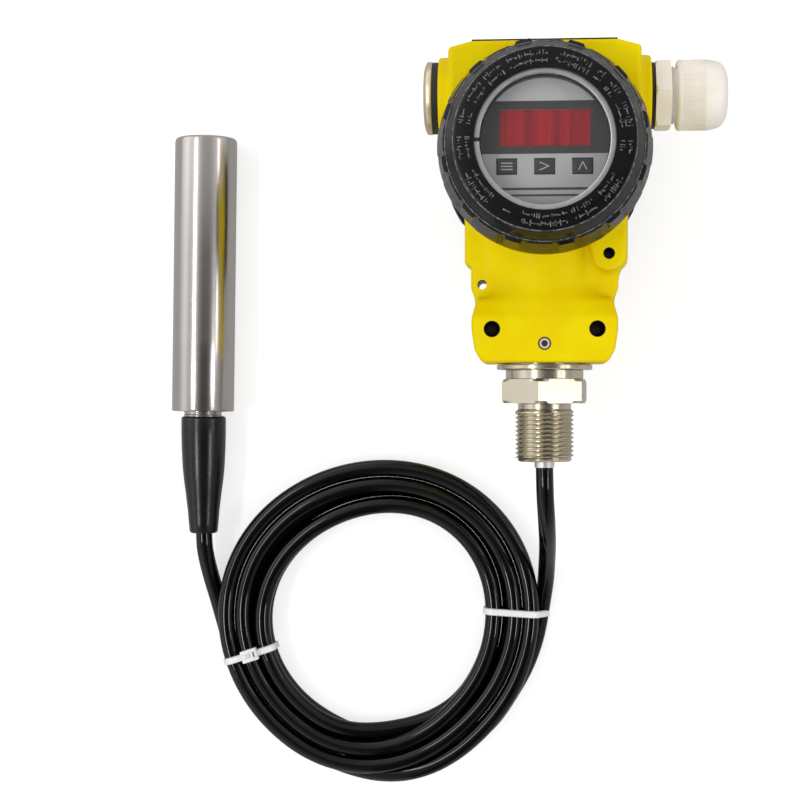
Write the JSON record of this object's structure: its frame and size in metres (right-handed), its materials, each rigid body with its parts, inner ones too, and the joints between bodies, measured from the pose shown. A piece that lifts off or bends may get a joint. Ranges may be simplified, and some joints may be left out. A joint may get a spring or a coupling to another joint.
{
  "type": "submersible level transmitter",
  "caption": "Level transmitter: two-cover head with display and cable gland, threaded process connection, coiled cable and stainless submersible probe.",
  "frame": {"origin": "centre of the rear cover's flat face, on the barrel axis, where the head lies on the table", "axes": "+Z along the barrel towards the display, +Y up the head away from the process connection, +X towards the cable gland"},
  "size_m": [0.195, 0.2563, 0.092],
  "materials": {
    "yellow_casting": "powder-coated die-cast aluminium",
    "black_cover": "gloss black moulding",
    "clear_glass": "clear toughened glass",
    "black_rubber": "moulded rubber",
    "ring_steel": "spring steel",
    "grey_case": "moulded",
    "grey_plate": "printed film",
    "red_filter": "tinted acrylic",
    "digit_white": "moulded",
    "board_green": "solder resist",
    "key_grey": "moulded",
    "part_black": "moulded",
    "post_brass": "turned",
    "screw_steel": "zinc plated",
    "terminal_green": "moulded",
    "plate_metal": "black anodised, satin",
    "dark_screw": "black oxide, worn",
    "gland_ivory": "moulded nylon",
    "plug_metal": "nickel plated",
    "stainless": "turned",
    "cable_black": "glossy jacket",
    "tie_nylon": "natural nylon",
    "boot_black": "satin rubber",
    "probe_steel": "turned and brushed"
  },
  "bodies": {
    "base": {"housing": "yellow_casting", "display_case": "grey_case", "display_plate": "grey_plate", "led_window": "red_filter", "led_digits": "digit_white", "display_board": "board_green", "key_switches": "part_black", "display_posts": "post_brass", "display_screws": "screw_steel", "main_board": "board_green", "main_board_parts": "part_black", "main_board_screws": "screw_steel", "board_link": "part_black", "terminal_board": "board_green", "terminal_board_screws": "screw_steel", "terminal_block": "terminal_green", "terminal_screws": "screw_steel", "name_plate": "plate_metal", "name_plate_rivets": "plate_metal", "lock_set_screw": "dark_screw", "gland_washer": "black_rubber", "gland_body": "gland_ivory", "process_connection": "stainless", "lock_collar": "stainless", "stem_seal": "black_rubber", "stem_resin": "part_black", "cable_grommet": "black_rubber", "cable_ferrule": "stainless", "cable_core": "cable_black", "head_cable": "cable_black", "cable_coil": "cable_black", "probe_cable": "cable_black", "right_tie": "tie_nylon", "left_tie": "tie_nylon", "strain_relief": "boot_black", "probe_tube": "probe_steel", "probe_end_gland": "stainless", "probe_seal": "black_rubber", "probe_core": "cable_black", "probe_board": "board_green", "sensor_capsule": "probe_steel", "sensor_seal": "black_rubber", "sensor_ring": "probe_steel", "probe_nose_cap": "probe_steel"},
    "front_cover_travel": {"front_cover_seal": "black_rubber"},
    "front_cover_turn": {"front_cover": "black_cover", "window_glass": "clear_glass", "window_gasket": "black_rubber", "window_ring": "ring_steel"},
    "rear_cover_travel": {"rear_cover_seal": "black_rubber"},
    "rear_cover_turn": {"rear_cover": "black_cover"},
    "gland_insert": {"gland_bush": "black_rubber", "gland_claw": "gland_ivory"},
    "gland_nut_turn": {"gland_nut": "gland_ivory"},
    "plug_travel": {"plug_seal": "black_rubber"},
    "plug_turn": {"blanking_plug": "plug_metal"},
    "menu_key": {"menu_key": "key_grey"},
    "shift_key": {"shift_key": "key_grey"},
    "up_key": {"up_key": "key_grey"}
  },
  "joints": [
    {"name": "front_cover_lift", "type": "slide", "parent": "base", "child": "front_cover_travel", "axis": [0, 0, 1], "range_m": [0, 0.009]},
    {"name": "front_cover_screw", "type": "hinge", "parent": "front_cover_travel", "child": "front_cover_turn", "pos_m": [0, 0, 0.08], "axis": [0, 0, 1], "range_deg": [0, 1620]},
    {"name": "rear_cover_lift", "type": "slide", "parent": "base", "child": "rear_cover_travel", "axis": [0, 0, -1], "range_m": [0, 0.009]},
    {"name": "rear_cover_screw", "type": "hinge", "parent": "rear_cover_travel", "child": "rear_cover_turn", "pos_m": [0, 0, 0.01], "axis": [0, 0, -1], "range_deg": [0, 1620]},
    {"name": "gland_nut_travel", "type": "slide", "parent": "base", "child": "gland_insert", "axis": [1, 0, 0], "range_m": [0, 0.0075]},
    {"name": "gland_nut_screw", "type": "hinge", "parent": "gland_insert", "child": "gland_nut_turn", "pos_m": [0.05, 0.0212, 0.042], "axis": [1, 0, 0], "range_deg": [0, 1800]},
    {"name": "plug_travel", "type": "slide", "parent": "base", "child": "plug_travel", "axis": [-1, 0, 0], "range_m": [0, 0.009]},
    {"name": "plug_screw", "type": "hinge", "parent": "plug_travel", "child": "plug_turn", "pos_m": [-0.04, 0.0212, 0.042], "axis": [-1, 0, 0], "range_deg": [0, 2160]},
    {"name": "menu_key_press", "type": "slide", "parent": "base", "child": "menu_key", "axis": [0, 0, -1], "range_m": [0, 0.0005], "stiffness_N_per_m": 600, "springref_m": -0.0015},
    {"name": "shift_key_press", "type": "slide", "parent": "base", "child": "shift_key", "axis": [0, 0, -1], "range_m": [0, 0.0005], "stiffness_N_per_m": 600, "springref_m": -0.0015},
    {"name": "up_key_press", "type": "slide", "parent": "base", "child": "up_key", "axis": [0, 0, -1], "range_m": [0, 0.0005], "stiffness_N_per_m": 600, "springref_m": -0.0015}
  ],
  "couplings": [
    {"joint": "front_cover_lift", "follows": "front_cover_screw", "m_per_rad": 0.0003183},
    {"joint": "rear_cover_lift", "follows": "rear_cover_screw", "m_per_rad": 0.0003183},
    {"joint": "gland_nut_travel", "follows": "gland_nut_screw", "m_per_rad": 0.0002387},
    {"joint": "plug_travel", "follows": "plug_screw", "m_per_rad": 0.0002387}
  ]
}
